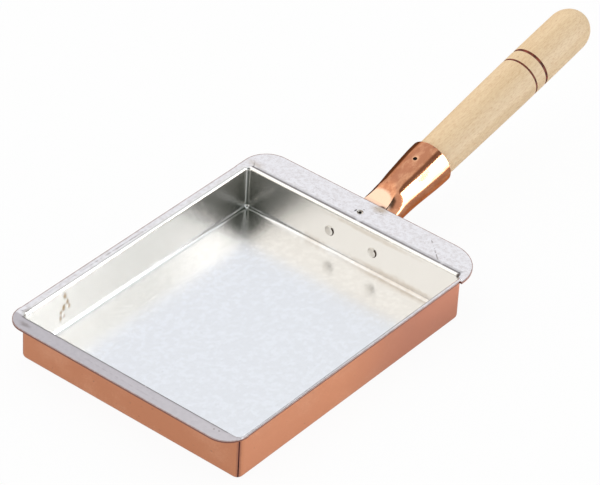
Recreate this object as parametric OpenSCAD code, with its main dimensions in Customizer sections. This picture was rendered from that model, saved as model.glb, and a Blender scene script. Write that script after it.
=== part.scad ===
// Rectangular omelette pan: a folded, tinned copper tray with a riveted copper ferrule and a wood handle.
// The origin is the centre of the underside, +Y points along the handle and +Z is up.

/* [Tray] */
// Width across the outer faces of the two long walls
pan_w = 175; // [140:1:240]
// Length across the outer faces of the two end walls
pan_l = 216; // [160:1:300]
// Height from the underside to the top of the rim
pan_h = 33; // [31:0.5:45]
// Thickness of the folded copper sheet
sheet_t = 1.2; // [0.8:0.1:1.6]
// Thickness of the tin over the inside and the rim
tin_t = 0.2; // [0.1:0.05:0.4]
// Outer radius of the bends round the floor
floor_bend_r = 4; // [3:0.5:6]
// Outer radius of the tray's upright corners
corner_r = 4.3; // [3:0.1:8]
// Outer radius of the upright corner at the front right, which is worked rounder
front_right_r = 4.8; // [3:0.1:12]
// Radius on the copper side where the walls turn out into the rim
rim_bend_r = 1; // [0.5:0.1:1.6]
// Width of the brazed seam up each corner
seam_w = 0.8; // [0.4:0.1:1.2]

/* [Rim] */
// How far the rim stands out from the left wall
left_rim = 4.8; // [2:0.1:6]
// How far the rim stands out from the right wall at its front end
right_rim_front = 1.3; // [1.2:0.1:6]
// How far the rim stands out from the right wall at the handle's end
right_rim_back = 2.3; // [1.2:0.1:6]
// How far the flange stands out from the front wall
front_flange = 10.4; // [8:0.2:20]
// How far the flange stands out from the wall at the handle
back_flange = 22.5; // [18:0.5:28]
// Corner radius of the front flange at its left end
front_left_corner = 14.5; // [4:0.5:18]
// Corner radius of the front flange at its right end
front_right_corner = 16; // [4:0.5:20]
// Corner radius of the handle's flange at its left end
back_left_corner = 18; // [4:0.5:28]
// Corner radius of the handle's flange at its right end
back_right_corner = 26; // [4:0.5:28]
// How far the flange ends reach past the side rims
flange_over = 0.3; // [0:0.1:3]
// How far the flange's right end at the handle reaches past the right rim
back_over = 1.4; // [0:0.1:3]
// How far the flange ends reach back along the long walls
flange_root = 6; // [3:0.5:10]

/* [Ferrule] */
// Thickness of the rolled copper sheet
ferrule_t = 1.4; // [1:0.1:1.6]
// Length from the wall to the mouth along the axis
ferrule_l = 82.5; // [76:0.5:120]
// Upward rake of the handle's axis in degrees
rake = 12; // [9:0.5:14]
// Height of the axis above the underside where it meets the wall
socket_z = 19; // [18.5:0.5:20]
// Outer radius at the wall
wall_r = 12.8; // [12:0.1:13]
// Outer radius at the narrow neck
neck_r = 13.9; // [13.5:0.1:15]
// Outer radius at the mouth
mouth_r = 16; // [15.4:0.1:19]
// Distance of the neck from the wall along the axis
neck_u = 42; // [40:1:48]
// Radius of the bend that turns the tube out into the collar and ears
ear_bend_r = 1.2; // [0.8:0.1:1.6]
// Width of the collar's flat beyond its bend
collar_w = 0.5; // [0.3:0.1:0.8]
// How far each ear reaches past its rivet
ear_margin = 6.5; // [5:0.5:9]
// Half of the angle that each ear takes up
ear_spread = 52; // [44:1:56]
// Width of the open seam along the underside of the tube
roll_gap = 0.6; // [0.3:0.1:1.5]

/* [Tab] */
// Distance of the slits' ends from the wall along the axis
slit_u = 38; // [36:0.5:39]
// Half of the angle between the two slits
slit_half = 30.5; // [26:0.5:33]
// Length over which the tube's crown is pressed flat behind the slits
press_l = 8; // [5:0.5:12]
// Width of the tab at the flange
tab_w = 18; // [14:0.5:19]
// Sideways shift of the tab at the flange
tab_shift = -1.8; // [-2:0.2:2]
// Slope of the tab where it leaves the tube in degrees
tab_fall = 34; // [28:1:38]
// Length of the tab that lies flat before it goes under the flange
tab_lead = 1; // [0.5:0.5:2]
// Gap between the tab's end and the wall
tab_end_gap = 3.5; // [3:0.5:5]
// Radius of the tab's end corners
tab_end_r = 4; // [2:0.5:6]
// Gap between the tab and the edges of the tube below it
slit_gap = 0.8; // [0.5:0.1:1.5]
// Gap beside the tab where it goes under the flange
side_gap = 0.5; // [0.3:0.1:0.8]
// Half of the angle between the edges of the tube's sides at the wall
side_half = 47; // [40:1:60]

/* [Rivets and nail] */
// Shank diameter of the two rivets through the wall
rivet_d = 4.4; // [3:0.2:5]
// Distance between the two rivets
rivet_pitch = 34.8; // [34.4:0.2:38]
// Height of the two rivets above the underside
rivet_z = 16; // [14:0.5:17]
// Head diameter inside the pan
rivet_head_d = 7; // [6:0.2:9]
// Head height inside the pan
rivet_head_h = 1.4; // [0.8:0.1:2]
// Diameter of the closed heads on the ears
rivet_tail_d = 6.4; // [5.6:0.1:6.6]
// Height of the closed heads on the ears
rivet_tail_h = 1.3; // [0.8:0.1:2]
// Shank diameter of the rivet through the flange
tab_rivet_d = 2.6; // [2:0.1:3]
// Head diameter of the rivet through the flange
tab_rivet_head_d = 4.4; // [4:0.1:6]
// Head height of the rivet through the flange
tab_rivet_head_h = 0.8; // [0.5:0.1:1.2]
// Distance of the flange's rivet from the wall
tab_rivet_y = 9; // [8:0.5:12]
// Distance of the nail from the wall along the axis
nail_u = 67; // [64:0.5:70]
// Shank diameter of the nail
nail_d = 1.8; // [1.4:0.1:2]
// Head diameter of the nail
nail_head_d = 2.6; // [2.4:0.1:3]
// Head thickness of the nail
nail_head_t = 0.9; // [0.6:0.1:1.2]
// Length of the nail below its head
nail_l = 10; // [6:0.5:11]
// How far the nail's head lies below the ferrule's outer face
nail_sink = 0.3; // [0.1:0.1:0.5]

/* [Handle] */
// Distance of the handle's domed end from the wall along the axis
handle_end = 248.5; // [225:0.5:300]
// Diameter of the grip where it is fullest
grip_d = 30.2; // [29:0.1:34]
// Distance of the fullest place from the wall along the axis
grip_u = 195; // [150:1:205]
// Distance of the tenon's inner end from the wall along the axis
tenon_u = 50; // [48:0.5:56]
// Gap round the wood at the ferrule's mouth
mouth_gap = 0.8; // [0.3:0.1:1.2]
// Length of the domed end
dome_l = 17; // [10:0.5:22]
// Distance of the first burnt groove from the wall along the axis
groove_u = 177.5; // [120:0.5:190]
// Distance between the two grooves
groove_pitch = 11; // [4:0.5:16]
// Width of the grooves
groove_w = 1.4; // [0.8:0.1:2]
// Depth of the grooves
groove_depth = 0.5; // [0.3:0.1:1]
// Chamfer on the tenon's inner end
tenon_chamfer = 1; // [0.5:0.1:2]

/* [Fits] */
// Clearance round rivets and nail in their holes
hole_play = 0.05; // [0.02:0.01:0.1]
// Clearance round the nail's head in the ferrule
nail_play = 0.15; // [0.1:0.05:0.25]
// Clearance round the tenon's inner end in the ferrule
tenon_play = 0.2; // [0.1:0.05:0.3]

/* [Hidden] */
$fn = 96;

copper = "#c9825c";
tin = "#dfe1e6";
braze = "#7c4a3c";
wood = "#ecd3a4";
iron = "#2b2624";

// Places on the tray
lining_t = sheet_t + tin_t;
under_z = pan_h - lining_t;
wall_y = pan_l / 2;
rim_root_y = wall_y - flange_root;
rim_left_x = -pan_w / 2 - left_rim;
rim_front_x = pan_w / 2 + right_rim_front;
rim_back_x = pan_w / 2 + right_rim_back;
least_r = floor_bend_r + tin_t;
// Sides of x and y and the radius of each upright corner
corners = [[-1, -1, max(corner_r, least_r)], [1, -1, max(front_right_r, least_r)],
    [1, 1, max(corner_r, least_r)], [-1, 1, max(corner_r, least_r)]];
cut = 2;
long = 2 * (pan_w + pan_l);

// Places on the ferrule
slit_z = under_z - ferrule_t - slit_gap;
bend_u = (ferrule_t + ear_bend_r) / cos(rake);
flange_edge_y = wall_y + back_flange;
under_u = back_flange / cos(rake) + tab_lead;
tab_edge_y = flange_edge_y + tab_lead;
tab_end_y = wall_y + tab_end_gap;
rivet_angle = atan2(rivet_pitch / 2, rivet_z - socket_z);
ear_reach = norm([rivet_pitch / 2, rivet_z - socket_z]) + ear_margin;
collar_r = wall_r + ear_bend_r + collar_w;
side_cols = 16;
tab_cols = 10;
tube_rows = 14;
slit_rows = 9;
bend_rows = 4;
ear_rows = 3;
fall_rows = 8;
flat_rows = 4;
end_rows = 4;
head_steps = 6;
edge_turn = 20;
root_row = tube_rows;

// Smooth step from 0 to 1
function ease(t) = let (c = max(0, min(1, t))) c * c * (3 - 2 * c);
function blend(a, b, t) = a + (b - a) * t;

// Outer radius of the ferrule at the distance u from the wall
function tube_r(u) = u < neck_u
    ? blend(wall_r, neck_r, ease(u / neck_u))
    : blend(neck_r, mouth_r, ease((u - neck_u) / (ferrule_l - neck_u)));

// Point of the axis, and the lean of the tube's cross section there, upright at the wall
function axis_at(u) = [0, wall_y + u * cos(rake), socket_z + u * sin(rake)];
function lean(u) = rake * ease(u / neck_u);

// How far the crown between the slits is pressed flat
function pressed(u) = pow(max(0, min(1, (slit_u + press_l - u) / press_l)), 2);
function crown(a, u) = cos(a) - max(0, cos(a) - cos(slit_half)) * pressed(u);

// The sides below the slits, -1 left and 1 right: share of the way to the slit's end, angle and height there
slit_end_z = axis_at(slit_u)[2] + tube_r(slit_u) * cos(slit_half) * cos(lean(slit_u));
function slit_share(u) = max(0, min(1, (u - under_u) / (slit_u - under_u)));
function edge_angle(side) = asin((tab_w / 2 + side * tab_shift + side_gap) / tube_r(under_u));
function slit_angle(side, u) = u > under_u
    ? blend(edge_angle(side), slit_half, slit_share(u))
    : blend(side_half, edge_angle(side), (u - bend_u) / (under_u - bend_u));
function slit_edge_z(u) = blend(slit_z, slit_end_z, slit_share(u));
// How far the upper half of the section is pressed down, so that the cut edges clear the flange
function tuck(a, u) = u >= slit_u || cos(a) <= 0 ? 1
    : min(1, (slit_edge_z(u) - axis_at(u)[2]) / (tube_r(u) * cos(slit_angle(sign(a), u)) * cos(lean(u))));
function section_dir(s, c, u) = [s, -c * sin(lean(u)), c * cos(lean(u))];
// Where the sheet faces: straight up on the pressed crown and at the cut edges
function cut_angle(a, u) = u < slit_u ? slit_angle(sign(a), u) : slit_half;
function facing(a, u) =
    let (e = cut_angle(a, u))
    abs(a) < e ? a * (1 - pressed(u)) : a - sign(a) * e * pressed(u) * max(0, 1 - (abs(a) - e) / edge_turn);

// Point of the tube at the angle a from its top, on its outer face or one sheet inside it
function tube_point(a, u, inner) =
    let (h = tuck(a, u), turn = atan2(h * sin(facing(a, u)), cos(facing(a, u))))
    axis_at(u) + tube_r(u) * section_dir(sin(a), h * crown(a, u), u)
    - (inner ? ferrule_t : 0) * section_dir(sin(turn), cos(turn), u);
function seam_angle(r) = 180 - asin(roll_gap / 2 / r);

// Point of the bend that turns the tube out against the wall, with f from 0 to 1
function bend_point(a, f, inner) =
    let (
        arc = ear_bend_r + (inner ? ferrule_t : 0),
        r = wall_r + ear_bend_r - arc * cos(90 * f),
        y = wall_y + ferrule_t + ear_bend_r - arc * sin(90 * f),
        z = socket_z + (y - wall_y) * tan(rake))
    [r * sin(a), y, z + r * cos(a)];

// Reach of the collar at the angle a, with an ear round each rivet
function ear_r(a) = blend(collar_r, ear_reach, ease(1 - abs(abs(a) - rivet_angle) / ear_spread));
function ear_point(a, f, inner) =
    let (r = blend(wall_r + ear_bend_r, ear_r(a), f))
    [r * sin(a), wall_y + (inner ? 0 : ferrule_t), socket_z + r * cos(a)];

// Distances from the wall of the tube's rows and of the rows beside the slits
tube_us = [for (i = [0:tube_rows]) blend(ferrule_l, slit_u, i / tube_rows)];
slit_us = [for (i = [1:slit_rows]) blend(slit_u, bend_u, i / slit_rows)];

// One side of the tube from its open seam to the slit, with all rows from the mouth to the ears
function side_angle(j, edge, r) = blend(seam_angle(r), edge, j / side_cols);
function side_rows(side, inner) = concat(
    [for (u = tube_us) [for (j = [0:side_cols])
        tube_point(side * side_angle(j, slit_half, tube_r(u)), u, inner)]],
    [for (u = slit_us) [for (j = [0:side_cols])
        tube_point(side * side_angle(j, slit_angle(side, u), tube_r(u)), u, inner)]],
    [for (i = [1:bend_rows]) [for (j = [0:side_cols])
        bend_point(side * side_angle(j, side_half, wall_r), i / bend_rows, inner)]],
    [for (i = [1:ear_rows]) [for (j = [0:side_cols])
        ear_point(side * side_angle(j, side_half, wall_r), i / ear_rows, inner)]]);

// The tab: it falls from the pressed crown to the flange's underside and runs flat under it
function tab_share(j) = 2 * j / tab_cols - 1;
function fall_z(z, run, f) =
    (2 * pow(f, 3) - 3 * pow(f, 2) + 1) * z
    - (pow(f, 3) - 2 * pow(f, 2) + f) * run * tan(tab_fall)
    + (3 * pow(f, 2) - 2 * pow(f, 3)) * under_z;
function fall_point(j, f, inner) =
    let (
        root = tube_point(tab_share(j) * slit_half, slit_u, false),
        run = root[1] - tab_edge_y,
        step = 0.01,
        slope = atan((fall_z(root[2], run, f - step) - fall_z(root[2], run, f)) / (step * run)))
    [blend(root[0], tab_shift + tab_share(j) * tab_w / 2, f),
        blend(root[1], tab_edge_y, f),
        fall_z(root[2], run, f) - (inner ? ferrule_t / cos(slope) : 0)];
function flat_point(j, y, half, inner) =
    [tab_shift + tab_share(j) * half, y, under_z - (inner ? ferrule_t : 0)];
function tab_rows(inner) = concat(
    [for (u = tube_us) [for (j = [0:tab_cols]) tube_point(tab_share(j) * slit_half, u, inner)]],
    [for (i = [1:fall_rows]) [for (j = [0:tab_cols]) fall_point(j, i / fall_rows, inner)]],
    [for (i = [1:flat_rows]) [for (j = [0:tab_cols])
        flat_point(j, blend(tab_edge_y, tab_end_y + tab_end_r, i / flat_rows), tab_w / 2, inner)]],
    [for (i = [1:end_rows]) [for (j = [0:tab_cols])
        let (a = 90 * i / end_rows)
        flat_point(j, tab_end_y + tab_end_r * (1 - sin(a)), tab_w / 2 - tab_end_r * (1 - cos(a)), inner)]]);

// The ferrule's sheet as one skin: three strips of points that share their edges down to the slits
left_n = len(tube_us) + slit_rows + bend_rows + ear_rows;
tab_n = len(tube_us) + fall_rows + flat_rows + end_rows;
side_size = left_n * (side_cols + 1);
tab_size = tab_n * (tab_cols + 1);
face_size = 2 * side_size + tab_size;
function flat_list(rows) = [for (row = rows) for (p = row) p];
function skin_points(inner) = concat(flat_list(side_rows(-1, inner)), flat_list(side_rows(1, inner)),
    flat_list(tab_rows(inner)));
// Index of a point: strip 0 is the left side, 1 the right side and 2 the tab
function at(strip, i, j, inner) = (inner ? face_size : 0) + (
    strip == 0 ? i * (side_cols + 1) + j
    : strip == 1 ? side_size + i * (side_cols + 1) + j
    : i <= root_row && j == 0 ? i * (side_cols + 1) + side_cols
    : i <= root_row && j == tab_cols ? side_size + i * (side_cols + 1) + side_cols
    : 2 * side_size + i * (tab_cols + 1) + j);
function quad(a, b, c, d, flip) = flip ? [[a, c, b], [a, d, c]] : [[a, b, c], [a, c, d]];
function strip_faces(strip, rows, cols, flip) = [
    for (inner = [false, true]) for (i = [0:rows - 2]) for (j = [0:cols - 1])
        each quad(at(strip, i, j, inner), at(strip, i, j + 1, inner), at(strip, i + 1, j + 1, inner),
            at(strip, i + 1, j, inner), inner != flip)];
// Edge of the sheet along a row or a column, closed from the outer face to the inner one
function row_edge(strip, i, cols, flip) = [for (j = [0:cols - 1])
    each quad(at(strip, i, j, false), at(strip, i, j, true), at(strip, i, j + 1, true),
        at(strip, i, j + 1, false), flip)];
function col_edge(strip, j, first, last, flip) = [for (i = [first:last - 1])
    each quad(at(strip, i, j, false), at(strip, i + 1, j, false), at(strip, i + 1, j, true),
        at(strip, i, j, true), flip)];
ferrule_faces = concat(
    strip_faces(0, left_n, side_cols, true),
    strip_faces(1, left_n, side_cols, false),
    strip_faces(2, tab_n, tab_cols, true),
    row_edge(0, 0, side_cols, true),
    row_edge(1, 0, side_cols, false),
    row_edge(2, 0, tab_cols, true),
    row_edge(0, left_n - 1, side_cols, false),
    row_edge(1, left_n - 1, side_cols, true),
    row_edge(2, tab_n - 1, tab_cols, false),
    col_edge(0, 0, 0, left_n - 1, true),
    col_edge(1, 0, 0, left_n - 1, false),
    col_edge(0, side_cols, root_row, left_n - 1, false),
    col_edge(1, side_cols, root_row, left_n - 1, true),
    col_edge(2, 0, root_row, tab_n - 1, true),
    col_edge(2, tab_cols, root_row, tab_n - 1, false));

// Radius of the wood: the tenon inside the ferrule, then the swelling grip
tenon_r = tube_r(tenon_u) - ferrule_t - tenon_play;
wood_neck_r = mouth_r - ferrule_t - mouth_gap;
dome_u = handle_end - dome_l;
function grip_r(u) = blend(wood_neck_r, grip_d / 2, sin(90 * (u - ferrule_l) / (grip_u - ferrule_l)));
grip_steps = 6;
dome_steps = 12;
function grip_run(first, last) = [for (i = [0:grip_steps])
    let (u = blend(first, last, i / grip_steps)) [grip_r(u), u]];
groove_us = [groove_u, groove_u + groove_pitch];

// A plate outline that starts at y = 0 with two round corners and ends square at y = reach
module round_start(w, reach, r) {
    translate([-w / 2, r]) square([w, reach - r]);
    translate([-w / 2 + r, 0]) square([w - 2 * r, r]);
    for (side = [-1, 1])
        translate([side * (w / 2 - r), r]) circle(r);
}

// Section across the tray at the depth d inside its outer face, raised by lift to cut with
module tray_section(w, d, lift) {
    top = under_z + d;
    roll = rim_bend_r + d;
    translate([0, d]) round_start(w - 2 * d, top - d + lift, floor_bend_r - d);
    difference() {
        translate([-w / 2 - rim_bend_r, top - roll]) square([w + 2 * rim_bend_r, roll + lift]);
        for (side = [-1, 1])
            translate([side * (w / 2 + rim_bend_r), top - roll]) circle(roll);
    }
}

// Children stand on the axis of the corner c, with the tray's corner in their +X +Y quarter
module at_corner(c) {
    translate([c[0] * (pan_w / 2 - c[2]), c[1] * (pan_l / 2 - c[2])])
        mirror([c[0] < 0 ? 1 : 0, 0, 0]) mirror([0, c[1] < 0 ? 1 : 0, 0]) children();
}

// The tray's form at the depth d: two crossed lengths of its section and a turned quarter at each corner
module tray_form(d, lift) {
    difference() {
        intersection() {
            rotate([90, 0, 0]) linear_extrude(long, center = true) tray_section(pan_w, d, lift);
            rotate([90, 0, 90]) linear_extrude(long, center = true) tray_section(pan_l, d, lift);
        }
        for (c = corners)
            at_corner(c) translate([0, 0, -cut]) cube([long, long, pan_h + lift + 2 * cut]);
    }
    for (c = corners)
        at_corner(c) rotate_extrude(angle = 90) intersection() {
            tray_section(2 * c[2], d, lift);
            square(long);
        }
}

module corner_cut(r) {
    difference() {
        translate([-cut, -cut]) square(r + cut);
        translate([r, r]) circle(r);
    }
}

// A flange outline from x0 to x1 that starts at y = 0 with round corners and ends square at y = reach
module flange_outline(x0, x1, reach, r0, r1) {
    difference() {
        translate([x0, 0]) square([x1 - x0, reach]);
        translate([x0, 0]) corner_cut(min(r0, reach));
        translate([x1, 0]) mirror([1, 0]) corner_cut(min(r1, reach));
    }
}

module rim_plate(z, t) {
    translate([0, 0, z]) linear_extrude(t) {
        polygon([[rim_left_x, -rim_root_y], [rim_front_x, -rim_root_y], [rim_back_x, rim_root_y],
            [rim_left_x, rim_root_y]]);
        translate([0, -wall_y - front_flange]) flange_outline(rim_left_x - flange_over,
            rim_front_x + flange_over, front_flange + flange_root, front_left_corner, front_right_corner);
        translate([0, wall_y + back_flange]) mirror([0, 1]) flange_outline(rim_left_x - flange_over,
            rim_back_x + back_over, back_flange + flange_root, back_left_corner, back_right_corner);
    }
}

// The gaps between the folded walls, one up each corner
module corner_gaps() {
    for (c = corners)
        at_corner(c) rotate(45) translate([c[2] - floor_bend_r, -seam_w / 2, 0])
            cube([floor_bend_r + 2 * rim_bend_r, seam_w, under_z]);
}

// Children stand on each wall rivet's axis, with +Z out of the pan and z = 0 on the wall's outer face
module at_wall_rivets() {
    for (side = [-1, 1])
        translate([side * rivet_pitch / 2, wall_y, rivet_z]) rotate([-90, 0, 0]) children();
}

module at_tab_rivet() {
    translate([tab_shift, wall_y + tab_rivet_y, under_z]) children();
}

// Children stand on the handle's axis, with +Z towards its domed end
module on_axis() {
    translate([0, wall_y, socket_z]) rotate([rake - 90, 0, 0]) children();
}

// Children stand on the nail's axis, with z = 0 on the handle's axis and +Z out of the ferrule's top
module at_nail() {
    on_axis() translate([0, 0, nail_u]) rotate([90, 0, 0]) children();
}

// A low round head on z = 0
module dome_head(d, h) {
    rise = 3 / 4 * h;
    ball = (rise * rise + d * d / 4) / (2 * rise);
    half = asin(d / 2 / ball);
    rotate_extrude() polygon(concat([[0, 0], [d / 2, 0]], [for (i = [head_steps:-1:0])
        let (a = half * i / head_steps) [ball * sin(a), h - ball * (1 - cos(a))]]));
}

module rivet_holes() {
    hole = rivet_d + 2 * hole_play;
    at_wall_rivets() translate([0, 0, -lining_t - cut]) cylinder(d = hole, h = lining_t + ferrule_t + 2 * cut);
    at_tab_rivet() translate([0, 0, -ferrule_t - cut])
        cylinder(d = tab_rivet_d + 2 * hole_play, h = lining_t + ferrule_t + 2 * cut);
}

module pan_body() {
    color(copper) difference() {
        union() {
            tray_form(0, 0);
            rim_plate(under_z, sheet_t);
        }
        tray_form(sheet_t, cut);
        corner_gaps();
        rivet_holes();
    }
}

module tin_lining() {
    color(tin) difference() {
        union() {
            tray_form(sheet_t, 0);
            rim_plate(pan_h - tin_t, tin_t);
        }
        tray_form(lining_t, cut);
        rivet_holes();
    }
}

module corner_braze() {
    color(braze) intersection() {
        difference() {
            tray_form(0, 0);
            tray_form(sheet_t, cut);
        }
        corner_gaps();
    }
}

module ferrule() {
    color(copper) difference() {
        polyhedron(concat(skin_points(false), skin_points(true)), ferrule_faces);
        rivet_holes();
        at_nail() cylinder(d = nail_head_d + 2 * nail_play, h = mouth_r + cut);
    }
}

module wall_rivets() {
    color(copper) at_wall_rivets() {
        translate([0, 0, -lining_t]) cylinder(d = rivet_d, h = lining_t + ferrule_t);
        translate([0, 0, -lining_t]) rotate([180, 0, 0]) dome_head(rivet_head_d, rivet_head_h);
        translate([0, 0, ferrule_t]) dome_head(rivet_tail_d, rivet_tail_h);
    }
}

module tab_rivet() {
    color(copper) at_tab_rivet() {
        translate([0, 0, -ferrule_t]) cylinder(d = tab_rivet_d, h = lining_t + ferrule_t);
        translate([0, 0, lining_t]) dome_head(tab_rivet_head_d, tab_rivet_head_h);
        translate([0, 0, -ferrule_t]) rotate([180, 0, 0]) dome_head(tab_rivet_head_d, tab_rivet_head_h);
    }
}

module handle_nail() {
    head_z = tube_r(nail_u) - nail_sink - nail_head_t;
    color(iron) at_nail() {
        translate([0, 0, head_z]) cylinder(d = nail_head_d, h = nail_head_t);
        translate([0, 0, head_z - nail_l]) cylinder(d = nail_d, h = nail_l + nail_head_t);
    }
}

module wood_handle() {
    head_z = tube_r(nail_u) - nail_sink - nail_head_t;
    outline = concat(
        [[0, tenon_u], [tenon_r - tenon_chamfer, tenon_u], [tenon_r, tenon_u + tenon_chamfer]],
        grip_run(ferrule_l, groove_us[0] - groove_w / 2),
        [[grip_r(groove_us[0]) - groove_depth, groove_us[0]]],
        grip_run(groove_us[0] + groove_w / 2, groove_us[1] - groove_w / 2),
        [[grip_r(groove_us[1]) - groove_depth, groove_us[1]]],
        grip_run(groove_us[1] + groove_w / 2, dome_u),
        [for (i = [1:dome_steps])
            let (a = 90 * i / dome_steps) [grip_r(dome_u) * cos(a), dome_u + dome_l * sin(a)]]);
    color(wood) difference() {
        on_axis() rotate_extrude() polygon(outline);
        at_nail() translate([0, 0, head_z - nail_l - hole_play])
            cylinder(d = nail_d + 2 * hole_play, h = nail_l + mouth_r);
    }
}

pan_body();
tin_lining();
corner_braze();
ferrule();
wall_rivets();
tab_rivet();
handle_nail();
wood_handle();
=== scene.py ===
# Rectangular omelette pan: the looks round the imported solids. Lengths are in metres.
import math

import bmesh
import bpy
from mathutils import Matrix, Vector


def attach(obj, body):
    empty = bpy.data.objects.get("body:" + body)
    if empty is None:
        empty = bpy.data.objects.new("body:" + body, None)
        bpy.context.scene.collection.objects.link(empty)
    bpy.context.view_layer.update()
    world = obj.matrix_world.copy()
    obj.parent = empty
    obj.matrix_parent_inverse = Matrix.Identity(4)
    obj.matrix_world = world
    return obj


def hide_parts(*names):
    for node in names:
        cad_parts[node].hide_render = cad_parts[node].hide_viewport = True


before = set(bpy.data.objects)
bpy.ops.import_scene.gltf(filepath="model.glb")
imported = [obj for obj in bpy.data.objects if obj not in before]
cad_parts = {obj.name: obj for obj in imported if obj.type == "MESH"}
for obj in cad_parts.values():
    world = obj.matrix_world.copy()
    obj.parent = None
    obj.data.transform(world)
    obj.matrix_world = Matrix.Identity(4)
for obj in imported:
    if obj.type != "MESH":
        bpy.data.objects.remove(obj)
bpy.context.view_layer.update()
print("frame loaded:", len(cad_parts), "nodes")

# Places that repeat the part's own sizes
pan = {
    "wallY": 0.108,                 # outer face of the wall that carries the handle
    "rimZ": 0.033,                  # top of the rim
    "underRimZ": 0.0316,            # underside of the rim
    "socketZ": 0.019,               # where the handle's axis meets the wall
    "rake": math.radians(12),       # upward tilt of the handle
}


def addNode(tree, kind, feeds=None, **settings):
    # feeds are values, or sockets to link from
    made = tree.nodes.new(kind)
    for key, value in settings.items():
        setattr(made, key, value)
    for key, value in (feeds or {}).items():
        if isinstance(value, bpy.types.NodeSocket):
            tree.links.new(value, made.inputs[key])
        else:
            made.inputs[key].default_value = value
    return made


def startGroup(name, inputs, outputs):
    tree = bpy.data.node_groups.new(name, "ShaderNodeTree")
    for label, kind, value in inputs:
        socket = tree.interface.new_socket(label, in_out="INPUT", socket_type="NodeSocket" + kind)
        if value is not None:
            socket.default_value = value
    for label, kind in outputs:
        tree.interface.new_socket(label, in_out="OUTPUT", socket_type="NodeSocket" + kind)
    return tree, addNode(tree, "NodeGroupInput").outputs, addNode(tree, "NodeGroupOutput")


def span(tree, value, low, high, toLow=0.0, toHigh=1.0):
    # a soft step between two levels
    return addNode(tree, "ShaderNodeMapRange", {"Value": value, "From Min": low, "From Max": high,
                   "To Min": toLow, "To Max": toHigh}, interpolation_type="SMOOTHSTEP").outputs["Result"]


def maths(tree, operation, a, b=0.0, clamp=False):
    return addNode(tree, "ShaderNodeMath", {0: a, 1: b}, operation=operation, use_clamp=clamp).outputs[0]


def vectors(tree, operation, a, b=(0, 0, 0), result="Vector"):
    return addNode(tree, "ShaderNodeVectorMath", {0: a, 1: b}, operation=operation).outputs[result]


def mixColour(tree, factor, a, b):
    return addNode(tree, "ShaderNodeMix", {"Factor": factor, 6: a, 7: b}, data_type="RGBA").outputs[2]


def noise(tree, place, scale, detail=4.0, roughness=0.55, distortion=0.0):
    return addNode(tree, "ShaderNodeTexNoise", {"Vector": place, "Scale": scale, "Detail": detail,
                   "Roughness": roughness, "Distortion": distortion}).outputs["Fac"]


def screen(red, green, blue):
    # a colour as it looks on screen, turned to the shader's own scale
    shares = (red, green, blue)
    return tuple(c / 12.92 if c <= 0.04045 else ((c + 0.055) / 1.055) ** 2.4 for c in shares) + (1.0,)


# Rubbed and handled metal: two tones in soft clouds, fine grain, small pits and uneven gloss
pits = {
    "scale": 420.0,
    "reach": (0.70, 0.78),
    "tone": (0.12, 0.08, 0.07, 1),
}


def makeRubbedMetal():
    tree, given, result = startGroup("rubbedMetal", [
        ("Vector", "Vector", None), ("Tone", "Color", (0.8, 0.8, 0.8, 1)),
        ("Shade", "Color", (0.6, 0.6, 0.6, 1)), ("Stretch", "Vector", (1, 1, 1)),
        ("Cloud Scale", "Float", 30.0), ("Grain Scale", "Float", 900.0),
        ("Grain Amount", "Float", 0.15), ("Pits", "Float", 0.0), ("Gloss", "Float", 0.25),
        ("Dull", "Float", 0.4)],
        [("Color", "Color"), ("Roughness", "Float"), ("Height", "Float")])
    place = vectors(tree, "MULTIPLY", given["Vector"], given["Stretch"])
    cloud = span(tree, noise(tree, place, given["Cloud Scale"], 5.0), 0.34, 0.66)
    grain = noise(tree, place, given["Grain Scale"], 3.0, 0.7)
    grained = maths(tree, "MULTIPLY", span(tree, grain, 0.3, 0.7), given["Grain Amount"])
    mask = maths(tree, "ADD", cloud, grained, clamp=True)
    pit = maths(tree, "MULTIPLY", span(tree, noise(tree, place, pits["scale"], 2.0), *pits["reach"]),
                given["Pits"])
    clouded = mixColour(tree, mask, given["Tone"], given["Shade"])
    tree.links.new(mixColour(tree, pit, clouded, pits["tone"]), result.inputs["Color"])
    tree.links.new(addNode(tree, "ShaderNodeMapRange", {"Value": mask, "To Min": given["Gloss"],
                   "To Max": given["Dull"]}).outputs["Result"], result.inputs["Roughness"])
    tree.links.new(maths(tree, "SUBTRACT", grain, pit), result.inputs["Height"])
    return tree


# A ragged soft patch round a point, for stains, tarnish and heat marks
def makePatch():
    tree, given, result = startGroup("patch", [
        ("Vector", "Vector", None), ("Centre", "Vector", (0, 0, 0)), ("Squeeze", "Vector", (1, 1, 1)),
        ("Inner", "Float", 0.0), ("Outer", "Float", 0.01), ("Ragged", "Float", 0.0),
        ("Ragged Scale", "Float", 200.0), ("Amount", "Float", 1.0)], [("Mask", "Float")])
    fromCentre = vectors(tree, "SUBTRACT", given["Vector"], given["Centre"])
    away = vectors(tree, "MULTIPLY", fromCentre, given["Squeeze"])
    uneven = maths(tree, "SUBTRACT", noise(tree, given["Vector"], given["Ragged Scale"]), 0.5)
    wobble = maths(tree, "MULTIPLY", uneven, given["Ragged"])
    reach = maths(tree, "ADD", vectors(tree, "LENGTH", away, result="Value"), wobble)
    faded = addNode(tree, "ShaderNodeMapRange", {"Value": reach, "From Min": given["Inner"],
                    "From Max": given["Outer"], "To Min": given["Amount"], "To Max": 0.0},
                    interpolation_type="SMOOTHSTEP")
    tree.links.new(faded.outputs["Result"], result.inputs["Mask"])
    return tree


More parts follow.
